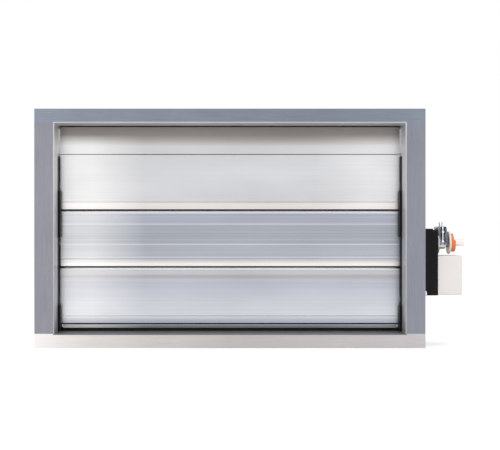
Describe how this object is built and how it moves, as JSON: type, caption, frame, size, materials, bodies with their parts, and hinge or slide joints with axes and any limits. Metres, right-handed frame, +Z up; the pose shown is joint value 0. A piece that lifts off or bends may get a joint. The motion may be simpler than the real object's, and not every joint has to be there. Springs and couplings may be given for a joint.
{
  "type": "volume control damper",
  "caption": "Rectangular duct damper with opposed aluminium blades in a channel frame, geared together at one side and turned by a clamped-on rotary actuator.",
  "frame": {"origin": "centre of the duct opening, in the plane of the front flange", "axes": "+X along the blades towards the actuator, +Y through the duct away from the front flange, +Z up"},
  "size_m": [0.7455, 0.125, 0.409],
  "materials": {
    "rail_aluminium": "mill finish, fine brushed grain",
    "blade_aluminium": "bright extruded with fine die lines",
    "black_rubber": "matte",
    "black_plastic": "moulded",
    "bush_plastic": "moulded",
    "bright_steel": "drawn bar",
    "galvanised_steel": "zinc coated sheet",
    "plated_screws": "zinc plated",
    "clamp_zinc": "die cast, plated",
    "cover_plastic": "fine moulded texture",
    "cream_plastic": "moulded",
    "orange_plastic": "satin moulded",
    "button_plastic": "moulded",
    "motor_steel": "pressed steel case",
    "board_laminate": "laminate"
  },
  "bodies": {
    "frame": {"top_rail": "rail_aluminium", "bottom_rail": "rail_aluminium", "left_rail": "rail_aluminium", "right_rail": "rail_aluminium", "corner_screws": "plated_screws", "right_strip": "black_plastic", "left_strip": "black_plastic", "right_bushes": "bush_plastic", "left_bushes": "bush_plastic", "mounting_plate": "galvanised_steel", "plate_screws": "plated_screws", "anti_rotation_pin": "bright_steel", "closing_panel": "blade_aluminium", "panel_seal": "black_rubber", "panel_rivets": "plated_screws", "sill_strip": "blade_aluminium", "sill_seal": "black_rubber", "sill_screws": "plated_screws", "actuator_base": "black_plastic", "cable_gland": "black_plastic", "actuator_cover": "cover_plastic", "cover_screws": "plated_screws", "geared_motor": "motor_steel", "circuit_board": "board_laminate"},
    "top_leaf": {"top_blade": "blade_aluminium", "top_gasket": "black_rubber", "top_left_pivot": "bright_steel", "top_right_pivot": "bright_steel", "top_clips": "bright_steel", "top_gear": "black_plastic"},
    "middle_leaf": {"middle_blade": "blade_aluminium", "middle_gasket": "black_rubber", "middle_left_pivot": "bright_steel", "drive_shaft": "bright_steel", "middle_clips": "bright_steel", "middle_gear": "black_plastic", "clamp_hub": "clamp_zinc", "clamp_yoke": "clamp_zinc", "clamp_jaw": "clamp_zinc", "clamp_studs": "plated_screws", "clamp_nuts": "plated_screws", "indicator_carrier": "cream_plastic", "position_indicator": "orange_plastic"},
    "bottom_leaf": {"bottom_blade": "blade_aluminium", "bottom_gasket": "black_rubber", "bottom_left_pivot": "bright_steel", "bottom_right_pivot": "bright_steel", "bottom_clips": "bright_steel", "bottom_gear": "black_plastic"},
    "release_button": {"release_button": "button_plastic"},
    "direction_switch": {"direction_switch": "button_plastic"}
  },
  "joints": [
    {"name": "middle_blade_turn", "type": "hinge", "parent": "frame", "child": "middle_leaf", "pos_m": [0, 0.0625, -0.025], "axis": [-1, 0, 0], "range_deg": [0, 90]},
    {"name": "top_blade_turn", "type": "hinge", "parent": "frame", "child": "top_leaf", "pos_m": [0, 0.0625, 0.075], "axis": [-1, 0, 0], "range_deg": [-90, 0]},
    {"name": "bottom_blade_turn", "type": "hinge", "parent": "frame", "child": "bottom_leaf", "pos_m": [0, 0.0625, -0.125], "axis": [-1, 0, 0], "range_deg": [-90, 0]},
    {"name": "release_press", "type": "slide", "parent": "frame", "child": "release_button", "axis": [-1, 0, 0], "range_m": [0, 0.0025], "stiffness_N_per_m": 400, "springref_m": -0.0005},
    {"name": "direction_turn", "type": "hinge", "parent": "frame", "child": "direction_switch", "pos_m": [0.4053, 0.0625, -0.093], "axis": [1, 0, 0], "range_deg": [0, 90]}
  ],
  "couplings": [
    {"joint": "top_blade_turn", "follows": "middle_blade_turn", "ratio": -1},
    {"joint": "bottom_blade_turn", "follows": "middle_blade_turn", "ratio": -1}
  ]
}
